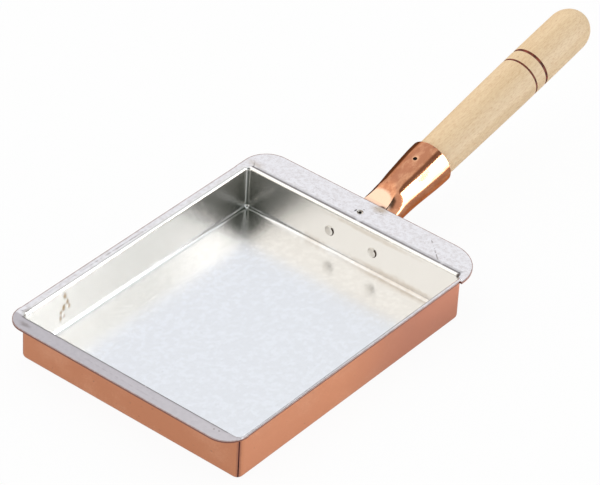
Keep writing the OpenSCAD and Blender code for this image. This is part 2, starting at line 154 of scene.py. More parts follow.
# A thin broken line between two points, for scratches and dirt in bends
def makeScratch():
    tree, given, result = startGroup("scratch", [
        ("Vector", "Vector", None), ("Start", "Vector", (0, 0, 0)), ("End", "Vector", (0, 0, 0)),
        ("Width", "Float", 0.0005), ("Gap Scale", "Float", 400.0), ("Gap Level", "Float", 0.5),
        ("Amount", "Float", 1.0)],
        [("Mask", "Float")])
    along = vectors(tree, "SUBTRACT", given["End"], given["Start"])
    fromStart = vectors(tree, "SUBTRACT", given["Vector"], given["Start"])
    share = maths(tree, "DIVIDE", vectors(tree, "DOT_PRODUCT", fromStart, along, "Value"),
                  vectors(tree, "DOT_PRODUCT", along, along, "Value"), clamp=True)
    foot = addNode(tree, "ShaderNodeVectorMath", {0: along, "Scale": share},
                   operation="SCALE").outputs["Vector"]
    away = vectors(tree, "LENGTH", vectors(tree, "SUBTRACT", fromStart, foot), result="Value")
    line = addNode(tree, "ShaderNodeMapRange", {"Value": away, "From Min": 0.0, "From Max": given["Width"],
                   "To Min": given["Amount"], "To Max": 0.0},
                   interpolation_type="SMOOTHSTEP").outputs["Result"]
    soft = 0.06
    broken = span(tree, noise(tree, given["Vector"], given["Gap Scale"], 2.0),
                  maths(tree, "SUBTRACT", given["Gap Level"], soft),
                  maths(tree, "ADD", given["Gap Level"], soft))
    tree.links.new(maths(tree, "MULTIPLY", line, broken), result.inputs["Mask"])
    return tree


rubbedMetal, patch, scratch = makeRubbedMetal(), makePatch(), makeScratch()


def placeGroup(tree, group, place, values):
    # a value named cloudScale feeds the input Cloud Scale
    made = addNode(tree, "ShaderNodeGroup", node_tree=group)
    tree.links.new(place, made.inputs["Vector"])
    for key, value in values.items():
        label = "".join(" " + c if c.isupper() else c for c in key).title()
        made.inputs[label].default_value = value
    return made.outputs


def startMaterial(name):
    made = bpy.data.materials.new(name)
    made.use_nodes = True
    tree = made.node_tree
    return made, tree, tree.nodes["Principled BSDF"], addNode(tree, "ShaderNodeTexCoord").outputs["Object"]


def addStains(tree, place, colour, look):
    for centre, squeeze, inner, outer, ragged, raggedScale, amount, tone in look["stains"]:
        mask = placeGroup(tree, patch, place, {
            "centre": centre, "squeeze": squeeze, "inner": inner, "outer": outer, "ragged": ragged,
            "raggedScale": raggedScale, "amount": amount})["Mask"]
        colour = mixColour(tree, mask, colour, look[tone])
    return colour


def endMetal(tree, shader, colour, roughness, height, bump, metallic=1.0):
    shader.inputs["Metallic"].default_value = metallic
    tree.links.new(colour, shader.inputs["Base Color"])
    tree.links.new(roughness, shader.inputs["Roughness"])
    raised = addNode(tree, "ShaderNodeBump", {"Height": height, "Strength": bump, "Distance": 0.0002})
    tree.links.new(raised.outputs["Normal"], shader.inputs["Normal"])


def plainMetal(name, look):
    made, tree, shader, place = startMaterial(name)
    metal = placeGroup(tree, rubbedMetal, place, look["metal"])
    endMetal(tree, shader, metal["Color"], metal["Roughness"], metal["Height"], look["bump"])
    return made


# Copper of the tray, tinted by heat up the seams, with painted shade along the rim's edge and on the right
# wall
trayCopper = {
    "metal": {"tone": screen(0.83, 0.60, 0.475), "shade": screen(0.795, 0.55, 0.42), "stretch": (1, 1, 1.5),
              "cloudScale": 26.0, "grainScale": 1300.0, "grainAmount": 0.9, "pits": 0.6, "gloss": 0.40,
              "dull": 0.52},
    "bump": 0.3,
    "seamTint": screen(0.55, 0.36, 0.33),
    # painted shade on the copper edge of the rim
    "shadedRimEdge": screen(0.54, 0.375, 0.33),
    "shadedCopper": screen(0.715, 0.485, 0.395),
    "seams": (0.0862, 0.1067),      # the corners' distances along X and Y
    "seamPatch": {"squeeze": (1, 1, 0), "inner": 0.0008, "outer": 0.0020, "ragged": 0.0012,
                  "raggedScale": 500.0, "amount": 0.45},
    "shadeAlong": (-0.02, 0.06),    # where the painted shade on the right wall starts, along Y
    "rightWall": (0.06, 0.08),
    "edgeLift": 0.00008,            # the painted shade on the rim's edge starts this far over the rim's underside
}


def makeTrayCopper():
    made, tree, shader, place = startMaterial("satinCopper")
    metal = placeGroup(tree, rubbedMetal, place, trayCopper["metal"])
    colour = metal["Color"]
    # painted shade: the right wall is darker and browner towards the handle
    at = addNode(tree, "ShaderNodeSeparateXYZ", {0: place}).outputs
    rightWallShade = maths(tree, "MULTIPLY", span(tree, at["Y"], *trayCopper["shadeAlong"]),
                    span(tree, at["X"], *trayCopper["rightWall"]))
    colour = mixColour(tree, rightWallShade, colour, trayCopper["shadedCopper"])
    seamX, seamY = trayCopper["seams"]
    for sideX in (-1, 1):
        for sideY in (-1, 1):
            corner = {"centre": (sideX * seamX, sideY * seamY, 0)}
            tint = placeGroup(tree, patch, place, {**corner, **trayCopper["seamPatch"]})["Mask"]
            colour = mixColour(tree, tint, colour, trayCopper["seamTint"])
    # painted shade: the copper edge of the rim is darkened
    edge = maths(tree, "GREATER_THAN", at["Z"], pan["underRimZ"] + trayCopper["edgeLift"])
    colour = mixColour(tree, edge, colour, trayCopper["shadedRimEdge"])
    endMetal(tree, shader, colour, metal["Roughness"], metal["Height"], trayCopper["bump"])
    return made


# Tin over the inside and the rim: wiped by hand, duller where the pan is handled
tinFinish = {
    "metal": {"tone": screen(0.93, 0.933, 0.942), "shade": screen(0.90, 0.90, 0.905), "stretch": (1, 0.9, 1),
              "cloudScale": 260.0, "grainScale": 1500.0, "grainAmount": 0.8, "pits": 0.12, "gloss": 0.15,
              "dull": 0.205},
    "bump": 0.2,
    "warm": screen(0.92, 0.907, 0.887),             # the walls
    "rim": screen(0.93, 0.915, 0.917),
    "rimShade": screen(0.87, 0.845, 0.84),
    "handled": screen(0.80, 0.775, 0.78),           # the front flange
    "handledDark": screen(0.73, 0.705, 0.715),
    # painted shade for the far inside corners
    "cornerShade": screen(0.62, 0.64, 0.60),
    "brown": screen(0.68, 0.58, 0.44),
    "mark": screen(0.40, 0.34, 0.30),
    # dark for painted shade along the rim's bends, by the flange rivet and in the far right corner
    "dirt": screen(0.27, 0.23, 0.215),
    "wallFoot": (0.002, 0.006),                     # heights where the walls start and end
    "wallTop": (0.0329, 0.0315),
    "rimTop": (0.0326, 0.0329),
    "mottleScale": 300.0,
    "flangeRoot": (-0.1065, -0.1078),               # where the front flange starts, along Y
    "flangeTop": (0.0318, 0.0328),
    "flangeSpan": (0.085, -0.09),                   # from its right end to its left end
    "flangeRougher": 0.12,
    "wallGloss": 0.152,
    "farWall": (0.0, 0.08),
    "farWallRougher": 0.118,
    "edgeGaps": {"gapScale": 60.0, "gapLevel": 0.3},
    "stains": [     # centre, squeeze, inner, outer, ragged, ragged scale, amount, tone
        ((-0.0861, -0.0690, 0.0264), (1, 1, 0.60), 0.0001, 0.0023, 0.0026, 330.0, 0.87, "brown"),
        ((-0.0861, -0.0666, 0.0206), (1, 1, 0.60), 0.0001, 0.0019, 0.0026, 330.0, 0.82, "brown"),
        ((-0.0861, -0.0648, 0.0163), (1, 1, 0.60), 0.0001, 0.0017, 0.0026, 330.0, 0.82, "brown"),
        ((-0.0861, -0.0699, 0.0178), (1, 1, 0.60), 0.0001, 0.0023, 0.0026, 330.0, 0.95, "brown"),
        ((-0.0861, -0.0727, 0.0147), (1, 1, 0.60), 0.0001, 0.0017, 0.0026, 330.0, 0.92, "brown"),
        ((-0.0861, -0.0727, 0.0108), (1, 1, 0.60), 0.0001, 0.0020, 0.0026, 330.0, 0.92, "brown"),
        ((-0.0861, -0.0692, 0.0111), (1, 1, 0.60), 0.0001, 0.0014, 0.0026, 330.0, 0.67, "brown"),
        ((0.0702, -0.1112, 0.033), (1, 1, 1), 0.0002, 0.0007, 0.0, 330.0, 0.85, "mark"),
        ((0.0736, -0.1106, 0.033), (1, 1, 1), 0.0002, 0.0007, 0.0, 330.0, 0.85, "mark"),
        ((-0.0790, -0.1130, 0.033), (0.45, 1, 1), 0.0002, 0.0030, 0.0030, 330.0, 0.45, "mark"),
        ((-0.0870, -0.1020, 0.033), (1, 0.5, 1), 0.0002, 0.0035, 0.0030, 330.0, 0.40, "mark"),
        # painted shade darkening the two far inside corners
        ((-0.0861, 0.1066, 0.0060), (1, 1, 0.7), 0.0030, 0.0200, 0.0060, 330.0, 0.40, "cornerShade"),
        ((0.0861, 0.1066, 0.0150), (1, 1, 0.6), 0.0005, 0.0060, 0.0040, 330.0, 0.40, "cornerShade"),
        # painted shadow by the flange rivet, and painted shade in the far right corner
        ((-0.0050, 0.1166, 0.0330), (1, 0.40, 1), 0.0003, 0.0008, 0.0, 330.0, 0.95, "dirt"),
        ((-0.0014, 0.1206, 0.0330), (0.8, 1, 1), 0.0002, 0.0006, 0.0002, 330.0, 0.75, "dirt"),
        ((0.0846, 0.1072, 0.0318), (1, 1, 0.7), 0.0008, 0.0020, 0.0006, 330.0, 0.95, "dirt"),
        ((0.0060, 0.1275, 0.0330), (0.6, 1, 1), 0.0005, 0.0055, 0.0040, 330.0, 0.60, "brown"),
        ((0.0400, 0.1066, 0.0030), (0.08, 1, 1), 0.0004, 0.0055, 0.0040, 330.0, 0.40, "brown"),
        ((-0.0300, 0.1066, 0.0030), (0.25, 1, 1), 0.0004, 0.0040, 0.0040, 330.0, 0.30, "brown"),
        ((0.0150, 0.1066, 0.0290), (0.06, 1, 1), 0.0004, 0.0030, 0.0040, 330.0, 0.30, "brown"),
        ((-0.0845, 0.1120, 0.0330), (0.4, 1, 1), 0.0005, 0.0045, 0.0030, 330.0, 0.30, "brown"),
    ],
    "scratches": [      # start, end, width, amount
        ((0.0505, 0.1240, 0.033), (0.0660, 0.1103, 0.033), 0.00060, 0.75),
        ((0.0050, 0.1222, 0.033), (0.0160, 0.1262, 0.033), 0.00050, 0.55),
        ((0.0020, 0.1280, 0.033), (0.0100, 0.1250, 0.033), 0.00040, 0.45),
        ((-0.0897, -0.0420, 0.033), (-0.0889, 0.0100, 0.033), 0.00060, 0.60),
        ((-0.0902, -0.0880, 0.033), (-0.0898, -0.0420, 0.033), 0.00045, 0.35),
        ((-0.0300, -0.1130, 0.033), (0.0300, -0.1142, 0.033), 0.00030, 0.30),
        ((-0.0400, 0.1190, 0.033), (-0.0050, 0.1130, 0.033), 0.00030, 0.30),
    ],
    "edges": [      # painted shade along the bends of the rim: start, end, width, amount
        ((-0.0850, -0.1080, 0.0330), (0.0780, -0.1080, 0.0330), 0.00095, 0.90),
        ((-0.0840, 0.1087, 0.0330), (0.0845, 0.1087, 0.0330), 0.00105, 0.85),
        ((-0.0800, 0.1096, 0.0330), (0.0845, 0.1100, 0.0330), 0.0020, 0.30),
        ((0.0871, -0.1020, 0.0330), (0.0871, 0.1040, 0.0330), 0.00085, 0.90),
        ((-0.0872, -0.1030, 0.0329), (-0.0872, 0.1040, 0.0329), 0.00060, 0.50),
    ],
}


def makeTin():
    made, tree, shader, place = startMaterial("wipedTin")
    metal = placeGroup(tree, rubbedMetal, place, tinFinish["metal"])
    at = addNode(tree, "ShaderNodeSeparateXYZ", {0: place}).outputs
    # the walls are warmer than the floor and rim
    onWall = maths(tree, "MULTIPLY", span(tree, at["Z"], *tinFinish["wallFoot"]),
                   span(tree, at["Z"], *tinFinish["wallTop"]))
    colour = mixColour(tree, onWall, metal["Color"], tinFinish["warm"])
    mottle = span(tree, noise(tree, place, tinFinish["mottleScale"], 6.0, 0.7), 0.38, 0.68)
    onRim = span(tree, at["Z"], *tinFinish["rimTop"])
    rimTone = mixColour(tree, mottle, tinFinish["rim"], tinFinish["rimShade"])
    colour = mixColour(tree, onRim, colour, rimTone)
    # the front flange is duller, most of all at its left
    flange = maths(tree, "MULTIPLY", span(tree, at["Y"], *tinFinish["flangeRoot"]),
                   span(tree, at["Z"], *tinFinish["flangeTop"]))
    leftward = span(tree, at["X"], *tinFinish["flangeSpan"], 0.0, 0.6)
    dark = maths(tree, "ADD", leftward, maths(tree, "MULTIPLY", mottle, 0.4))
    flangeTone = mixColour(tree, dark, tinFinish["handled"], tinFinish["handledDark"])
    colour = mixColour(tree, flange, colour, flangeTone)
    colour = addStains(tree, place, colour, tinFinish)
    # scratches are marks; the edges' dark lines are painted shade
    for lines, gaps, tone in (("scratches", {}, "mark"), ("edges", tinFinish["edgeGaps"], "dirt")):
        for start, end, width, amount in tinFinish[lines]:
            mask = placeGroup(tree, scratch, place, {"start": start, "end": end, "width": width,
                                                     "amount": amount, **gaps})["Mask"]
            colour = mixColour(tree, mask, colour, tinFinish[tone])
    # the walls are even, and rougher towards the handle
    evened = addNode(tree, "ShaderNodeMix", {"Factor": onWall, 2: metal["Roughness"],
                                             3: tinFinish["wallGloss"]}).outputs[0]
    farWall = maths(tree, "MULTIPLY", onWall, span(tree, at["Y"], *tinFinish["farWall"]))
    worn = maths(tree, "ADD", evened, maths(tree, "MULTIPLY", flange, tinFinish["flangeRougher"]))
    roughness = maths(tree, "ADD", worn, maths(tree, "MULTIPLY", farWall, tinFinish["farWallRougher"]))
    endMetal(tree, shader, colour, roughness, metal["Height"], tinFinish["bump"])
    return made


# Bright copper of the ferrule
ferruleCopper = {
    "metal": {"tone": screen(0.875, 0.635, 0.49), "shade": screen(0.755, 0.505, 0.38), "stretch": (1, 0.35, 1),
              "cloudScale": 240.0, "grainScale": 1200.0, "grainAmount": 0.6, "pits": 0.8, "gloss": 0.08,
              "dull": 0.13},
    "bump": 0.08,
    "tab": screen(0.97, 0.83, 0.73),            # painted highlight on the flat tab
    "halo": screen(0.97, 0.76, 0.60),           # round the nail
    "smudge": screen(0.50, 0.28, 0.20),
    "soot": screen(0.16, 0.09, 0.07),           # painted shadow where the tab goes under the flange
    "glancing": screen(0.97, 0.72, 0.60),       # keeps its edges red
    "stains": [     # centre, squeeze, inner, outer, ragged, ragged scale, amount, tone
        ((-0.0018, 0.1330, 0.0340), (0.72, 0.8, 0.9), 0.0066, 0.0088, 0.0020, 260.0, 0.85, "tab"),
        ((0.0, 0.1705, 0.0486), (1, 1, 1), 0.0014, 0.0032, 0.0008, 500.0, 0.7, "halo"),
        ((0.0005, 0.1660, 0.0482), (1, 0.8, 1), 0.0002, 0.0017, 0.0012, 700.0, 0.6, "smudge"),
        ((-0.0030, 0.1460, 0.0400), (1, 1, 1), 0.0001, 0.0010, 0.0006, 800.0, 0.6, "smudge"),
        ((0.0050, 0.1318, 0.0310), (0.6, 1, 0.7), 0.0006, 0.0022, 0.0008, 500.0, 0.9, "soot"),
    ],
}


def makeFerruleCopper():
    made, tree, shader, place = startMaterial("polishedCopper")
    metal = placeGroup(tree, rubbedMetal, place, ferruleCopper["metal"])
    colour = addStains(tree, place, metal["Color"], ferruleCopper)
    shader.inputs["Specular Tint"].default_value = ferruleCopper["glancing"]
    endMetal(tree, shader, colour, metal["Roughness"], metal["Height"], ferruleCopper["bump"])
    return made


# Dark seams, rivets and nail
seamLook = {
    "metal": {"tone": screen(0.36, 0.21, 0.21), "shade": screen(0.22, 0.12, 0.13), "stretch": (1, 1, 0.4),
              "cloudScale": 160.0, "grainScale": 1500.0, "grainAmount": 0.4, "gloss": 0.4, "dull": 0.6},
    "bump": 0.3,
}
rivetLook = {
    "metal": {"tone": screen(0.91, 0.90, 0.88), "shade": screen(0.84, 0.82, 0.79), "stretch": (1, 1, 1),
              "cloudScale": 220.0, "grainScale": 1500.0, "grainAmount": 0.4, "pits": 0.2, "gloss": 0.28,
              "dull": 0.4},
    "bump": 0.2,
}
flangeRivetLook = {
    "metal": {"tone": screen(0.90, 0.89, 0.87), "shade": screen(0.62, 0.58, 0.54), "stretch": (1, 1, 1),
              "cloudScale": 480.0, "grainScale": 1500.0, "grainAmount": 0.4, "pits": 0.4, "gloss": 0.25,
              "dull": 0.45},
    "bump": 0.3,
}
# painted shade for the right edge of the inside rivet heads
rivetEdgeShadeLook = {
    "metal": {"tone": screen(0.42, 0.35, 0.30), "shade": screen(0.30, 0.24, 0.21), "stretch": (1, 1, 1),
              "cloudScale": 500.0, "grainScale": 2500.0, "grainAmount": 0.5, "gloss": 0.4, "dull": 0.6},
    "bump": 0.2,
}
tailLook = {
    "metal": {"tone": screen(0.84, 0.60, 0.47), "shade": screen(0.74, 0.50, 0.38), "stretch": (1, 1, 1),
              "cloudScale": 400.0, "grainScale": 1500.0, "grainAmount": 0.5, "pits": 0.4, "gloss": 0.30,
              "dull": 0.45},
    "bump": 0.2,
}
nailLook = {
    "metal": {"tone": screen(0.16, 0.14, 0.13), "shade": screen(0.08, 0.07, 0.07), "stretch": (1, 1, 1),
              "cloudScale": 500.0, "grainScale": 2500.0, "grainAmount": 0.5, "gloss": 0.5, "dull": 0.75},
    "bump": 0.4,
}

# Wood of the handle: each pattern is drawn out along the grain
woodLook = {
    "pale": screen(0.955, 0.845, 0.69),
    "ring": screen(0.915, 0.795, 0.63),
    "fibre": screen(0.82, 0.64, 0.45),
    "fleck": screen(0.62, 0.42, 0.27),
    "ringScale": 330.0,
    "fibreScale": 1750.0,
    "fleckScale": 520.0,
    "ringStretch": (1, 0.05, 1),
    "fibreStretch": (1, 0.16, 1),
    "fleckStretch": (1, 0.35, 1),
    "burntDeep": screen(0.30, 0.09, 0.05),
    "burntRed": screen(0.56, 0.22, 0.12),
    "burntScale": 260.0,
}


def makeWood():
    made, tree, shader, place = startMaterial("turnedWood")
    along = addNode(tree, "ShaderNodeMapping", {"Vector": place,
                                                "Rotation": (-pan["rake"], 0, 0)}).outputs["Vector"]

    def grain(kind, *shape):
        return noise(tree, vectors(tree, "MULTIPLY", along, woodLook[kind + "Stretch"]),
                     woodLook[kind + "Scale"], *shape)

    ring, fibre, fleck = grain("ring", 3.0, 0.5, 0.4), grain("fibre", 5.0, 0.75), grain("fleck", 2.0)
    colour = mixColour(tree, span(tree, ring, 0.30, 0.78), woodLook["pale"], woodLook["ring"])
    colour = mixColour(tree, span(tree, fibre, 0.42, 0.70, 0.0, 0.62), colour, woodLook["fibre"])
    colour = mixColour(tree, span(tree, fleck, 0.72, 0.80, 0.0, 0.7), colour, woodLook["fleck"])
    tree.links.new(colour, shader.inputs["Base Color"])
    tree.links.new(span(tree, fibre, 0.3, 0.8, 0.5, 0.66), shader.inputs["Roughness"])
    raised = addNode(tree, "ShaderNodeBump", {"Height": fibre, "Strength": 0.15, "Distance": 0.0002})
    tree.links.new(raised.outputs["Normal"], shader.inputs["Normal"])
    return made


def makeBurnt():
    made, tree, shader, place = startMaterial("burntGroove")
    cloud = span(tree, noise(tree, place, woodLook["burntScale"]), 0.3, 0.7)
    tree.links.new(mixColour(tree, cloud, woodLook["burntRed"], woodLook["burntDeep"]),
                   shader.inputs["Base Color"])
    tree.links.new(addNode(tree, "ShaderNodeMapRange", {"Value": cloud, "To Min": 0.6,
                   "To Max": 0.8}).outputs["Result"], shader.inputs["Roughness"])
    return made


copperMat, tinMat, ferruleMat = makeTrayCopper(), makeTin(), makeFerruleCopper()
rivetEdgeShadeMat, tailMat = plainMetal("shadedRivetEdge", rivetEdgeShadeLook), plainMetal("rivetCopper", tailLook)
seamMat, nailMat = plainMetal("brazedSeam", seamLook), plainMetal("darkNail", nailLook)
rivetMat, flangeRivetMat = plainMetal("rivetTin", rivetLook), plainMetal("hammeredRivet", flangeRivetLook)
woodMat, burntMat = makeWood(), makeBurnt()
print("materials made")


def finishPiece(mesh, name, materials, replaced=None, sharpAngle=32, flatten=False):
    # the piece rides on the pan, smooth but for its sharp edges
    data = bpy.data.meshes.new(name)
    mesh.to_mesh(data)
    mesh.free()
    for material in materials:
        data.materials.append(material)
    data.shade_smooth()
    data.set_sharp_from_angle(angle=math.radians(sharpAngle))
    piece = bpy.data.objects.new(name, data)
    bpy.context.scene.collection.objects.link(piece)
    if flatten:  # flat faces stay flat beside the bends
        flat = piece.modifiers.new("flatFaces", "WEIGHTED_NORMAL")
        flat.weight, flat.keep_sharp = 100, True
    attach(piece, "root")
    if replaced:
        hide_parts(replaced)
    return piece


def copyNode(node):
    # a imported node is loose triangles, so the copy is merged
    mesh = bmesh.new()
    mesh.from_mesh(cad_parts[node].data)
    bmesh.ops.remove_doubles(mesh, verts=mesh.verts, dist=1e-6)
    for face in mesh.faces:
        face.material_index = 0
    return mesh


def dressNode(node, material):
    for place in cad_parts[node].material_slots:
        place.material = material


dressNode("pan_body", copperMat)
dressNode("corner_braze", seamMat)
dressNode("handle_nail", nailMat)
print("packed nodes dressed")

# Ferrule: the crown is pressed in beside the tab
press = {
    "centre": Vector((-0.0105, 0.1450, 0.0300)),
    "reach": 0.016,
    "depth": 0.0011,
    "startY": 0.134,            # the tab in front of it stays as it is
    "fadeLength": 0.006,
}


def makeFerrule():
    mesh = copyNode("ferrule")
    for vert in mesh.verts:
        away = (vert.co - press["centre"]).length / press["reach"]
        past = vert.co.y - press["startY"]
        if away < 1 and past > 0:
            vert.co.x += press["depth"] * (1 - away * away) ** 2 * min(1.0, past / press["fadeLength"])
    return finishPiece(mesh, "rolledFerrule", [ferruleMat], "ferrule")


makeFerrule()

# Lining, with the tin worn to brown along the outer edge of the rim
liningLook = {
    "wornWidth": 0.0005,
    "outerEdge": (0.0885, 0.1095),      # the ring is worn beyond these distances along X and Y
    "worn": {
        "metal": {"tone": screen(0.76, 0.65, 0.62), "shade": screen(0.60, 0.48, 0.45), "stretch": (1, 1, 1),
                  "cloudScale": 300.0, "grainScale": 1500.0, "grainAmount": 0.5, "gloss": 0.3, "dull": 0.5},
        "bump": 0.2},
}


def makeLining():
    mesh = copyNode("tin_lining")
    top = [face for face in mesh.faces
           if face.normal.z > 0.99 and face.calc_center_median().z > pan["rimZ"] - 0.0001]
    rings = bmesh.ops.inset_region(mesh, faces=top, thickness=liningLook["wornWidth"], use_even_offset=True)
    edgeX, edgeY = liningLook["outerEdge"]
    for face in rings["faces"]:
        middle = face.calc_center_median()
        if abs(middle.x) > edgeX or abs(middle.y) > edgeY:
            face.material_index = 1
    wornMat = plainMetal("wornTin", liningLook["worn"])
    return finishPiece(mesh, "wipedLining", [tinMat, wornMat], "tin_lining", 30, flatten=True)


# Wall rivets: each is spun as one solid from its flat inside head to its domed outside head
rivets = {
    "places": (-0.0174, 0.0174),
    "z": 0.016,
    "inside": 0.1066,           # face of the lining
    "outside": 0.1094,          # face of the ferrule's collar
    "headRadius": 0.0035,
    "headHeight": 0.0009,
    "headEdge": ((0.93, 0.68), (0.975, 0.45), (1.0, 0.15)),     # shares of the radius and the height
    "tailRadius": 0.0032,
    "tailHeight": 0.0013,
    "tailSteps": 8,
    "shankRadius": 0.0021,
    "shadeFrom": 0.88,        # share of the radius
    "shadeSpread": 0.45,
}
clear = 0.00002                 # heads stand this far off the faces under them


def spinProfile(mesh, profile, steps=48):
    # profile is radii and heights; only what this call makes is given back
    before = set(mesh.verts)
    points = [mesh.verts.new((radius, 0, height)) for radius, height in profile]
    edges = [mesh.edges.new(pair) for pair in zip(points, points[1:])]
    bmesh.ops.spin(mesh, geom=points + edges, cent=(0, 0, 0), axis=(0, 0, 1), angle=2 * math.pi, steps=steps,
                   use_merge=True)
    return [vert for vert in mesh.verts if vert not in before]


def weldSpun(mesh):
    # spin gives its edges and faces in a new order each run, so they follow their points
    bmesh.ops.remove_doubles(mesh, verts=mesh.verts, dist=1e-7)
    mesh.verts.index_update()
    for parts in (mesh.edges, mesh.faces):
        ordered = sorted(parts, key=lambda part: sorted(vert.index for vert in part.verts))
        ranks = {part: rank for rank, part in enumerate(ordered)}
        parts.sort(key=ranks.get)
        parts.index_update()


def makeWallRivets():
    mesh = bmesh.new()
    wide, low, shank = rivets["headRadius"], rivets["headHeight"], rivets["shankRadius"]
    back, tail = rivets["outside"] - rivets["inside"], rivets["tailHeight"]
    profile = [(wide * share, -low * (1 - 0.25 * share ** 2)) for share in (0, 0.3, 0.6, 0.8, 0.86)]
    profile += [(wide * out, -low * up) for out, up in rivets["headEdge"]]
    profile += [(wide, clear), (shank, clear), (shank, back)]
    for step in range(rivets["tailSteps"]):
        turn = math.pi / 2 * step / rivets["tailSteps"]
        profile.append((rivets["tailRadius"] * math.cos(turn), back + tail * math.sin(turn)))
    profile.append((0, back + tail))
    for x in rivets["places"]:
        bmesh.ops.transform(mesh, verts=spinProfile(mesh, profile),
                            matrix=Matrix.Translation((x, rivets["inside"], rivets["z"]))
                            @ Matrix.Rotation(-math.pi / 2, 4, "X"))
    weldSpun(mesh)
    bmesh.ops.recalc_face_normals(mesh, faces=mesh.faces)
    for face in mesh.faces:
        middle = face.calc_center_median()
        x = math.copysign(rivets["places"][1], middle.x)
        aside = middle - Vector((x, middle.y, rivets["z"]))
        lower = abs(aside.z + 0.0006) * rivets["shadeSpread"]
        if middle.y < rivets["inside"] and aside.length > wide * rivets["shadeFrom"] and aside.x > lower:
            face.material_index = 1     # painted shade along the right edge of an inside head
        elif middle.y > rivets["outside"] - 0.0001:
            face.material_index = 2
    return finishPiece(mesh, "wallRivetPair", [rivetMat, rivetEdgeShadeMat, tailMat], "wall_rivets", 50)


# Flange rivet: hammered flat, with a hollow off its middle and a dark crescent of painted shadow beside it
flangeHead = {
    "place": Vector((-0.0018, 0.117, 0)),
    "top": 0.0336,
    "radius": 0.0022,
    "footTop": 0.0302,                  # underside of the ferrule's tab
    "foot": 0.0294,
    "shankRadius": 0.0013,
    "hollow": Vector((0.0007, -0.0008)),
    "hollowRadius": 0.00115,
    "crescent": (0.0014, 0.0020),       # inner and outer radius of the dark crescent of painted shadow
    "crescentEnd": -0.0012,
}


def makeFlangeRivet():
    mesh = bmesh.new()
    wide, shank = flangeHead["radius"], flangeHead["shankRadius"]
    top, foot, footTop = flangeHead["top"], flangeHead["foot"], flangeHead["footTop"]
    near, far = flangeHead["crescent"]
    profile = [(step * 0.0003, top - 0.0001) for step in range(5)]
    profile += [(near, top - 0.0002), (near + 0.0002, top - 0.0004), (far - 0.0001, top - 0.0003),
                (far, top - 0.0002), (wide, top - 0.0004), (wide, pan["rimZ"] + clear),
                (shank, pan["rimZ"] + clear), (shank, footTop), (wide, footTop), (wide, 0.0300),
                (0.0015, 0.02967), (0.0008, foot + 0.00008), (0, foot)]
    bmesh.ops.transform(mesh, verts=spinProfile(mesh, profile), matrix=Matrix.Translation(flangeHead["place"]))
    weldSpun(mesh)
    for face in mesh.faces:
        aside = face.calc_center_median() - flangeHead["place"]
        if aside.z < pan["rimZ"] or face.normal.z == 0:
            continue
        inHollow = (aside.xy - flangeHead["hollow"]).length < flangeHead["hollowRadius"]
        # the crescent is painted shadow at the head's edge
        inCrescent = near < aside.xy.length < far and aside.y + 0.3 * aside.x < flangeHead["crescentEnd"]
        if inHollow or inCrescent:
            face.material_index = 1
    bmesh.ops.recalc_face_normals(mesh, faces=mesh.faces)
    return finishPiece(mesh, "hammeredHead", [flangeRivetMat, nailMat], "tab_rivet", 50)


makeLining()
makeWallRivets()
makeFlangeRivet()

# Turned handle: the profile is spun round the handle's axis
grip = {
    "start": 0.0500,            # distances along the axis from the wall
    "mouth": 0.0825,
    "fullest": 0.195,
    "end": 0.24845,
    "dome": 0.017,
    "domeSteps": 24,
    "neckRadius": 0.01379,
    "fullRadius": 0.01508,
    "tenonRadius": 0.0122,
    "chamfer": 0.001,
    "shoulder": 0.004,          # taper from the tenon to the neck
    "grooves": ((0.1775, 0.0008, 0.0005), (0.1885, 0.0011, 0.0007)),   # place, half width, depth
    "lip": 0.0004,              # rounding of the grooves' edges, along the axis
    "lipDepth": 0.00012,
    "spacing": 0.006,
    "steps": 96,
}


def gripRadius(u):
    share = math.sin(math.pi / 2 * (u - grip["mouth"]) / (grip["fullest"] - grip["mouth"]))
    return grip["neckRadius"] + (grip["fullRadius"] - grip["neckRadius"]) * share


def swell(profile, place, end):
    # evenly spaced points from one place up to the next feature
    while place + grip["spacing"] < end:
        place += grip["spacing"]
        profile.append((gripRadius(place), place))


def makeGrip():
    start, mouth, tenon, chamfer = grip["start"], grip["mouth"], grip["tenonRadius"], grip["chamfer"]
    profile = [(0.0, start), (tenon - chamfer, start), (tenon, start + chamfer),
               (tenon, mouth - grip["shoulder"]), (grip["neckRadius"], mouth)]
    place = mouth
    for groove, half, depth in grip["grooves"]:
        swell(profile, place, groove - half - 0.001)
        rim, lip, lipDepth = gripRadius(groove), grip["lip"], grip["lipDepth"]
        for side, steps in ((-1, ((1, lip, 0), (1, 0, lipDepth), (0.35, 0, depth))),
                            (1, ((0.35, 0, depth), (1, 0, lipDepth), (1, lip, 0)))):
            profile += [(rim - sunk, groove + side * (half * share + beyond)) for share, beyond, sunk in steps]
        place = groove + half + 0.001
    domeStart = grip["end"] - grip["dome"]
    swell(profile, place, domeStart)
    for step in range(grip["domeSteps"]):
        turn = math.pi / 2 * step / grip["domeSteps"]
        profile.append((gripRadius(domeStart) * math.cos(turn), domeStart + grip["dome"] * math.sin(turn)))
    profile.append((0.0, grip["end"]))
    mesh = bmesh.new()
    spinProfile(mesh, profile, grip["steps"])
    weldSpun(mesh)
    for face in mesh.faces:
        middle = face.calc_center_median()
        if any(abs(middle.z - groove) < half for groove, half, depth in grip["grooves"]):
            face.material_index = 1
    bmesh.ops.transform(mesh, verts=mesh.verts, matrix=Matrix.Translation((0, pan["wallY"], pan["socketZ"]))
                        @ Matrix.Rotation(pan["rake"] - math.pi / 2, 4, "X"))
    bmesh.ops.recalc_face_normals(mesh, faces=mesh.faces)
    return finishPiece(mesh, "turnedHandle", [woodMat, burntMat], "wood_handle", 40)


makeGrip()
print("pieces made")

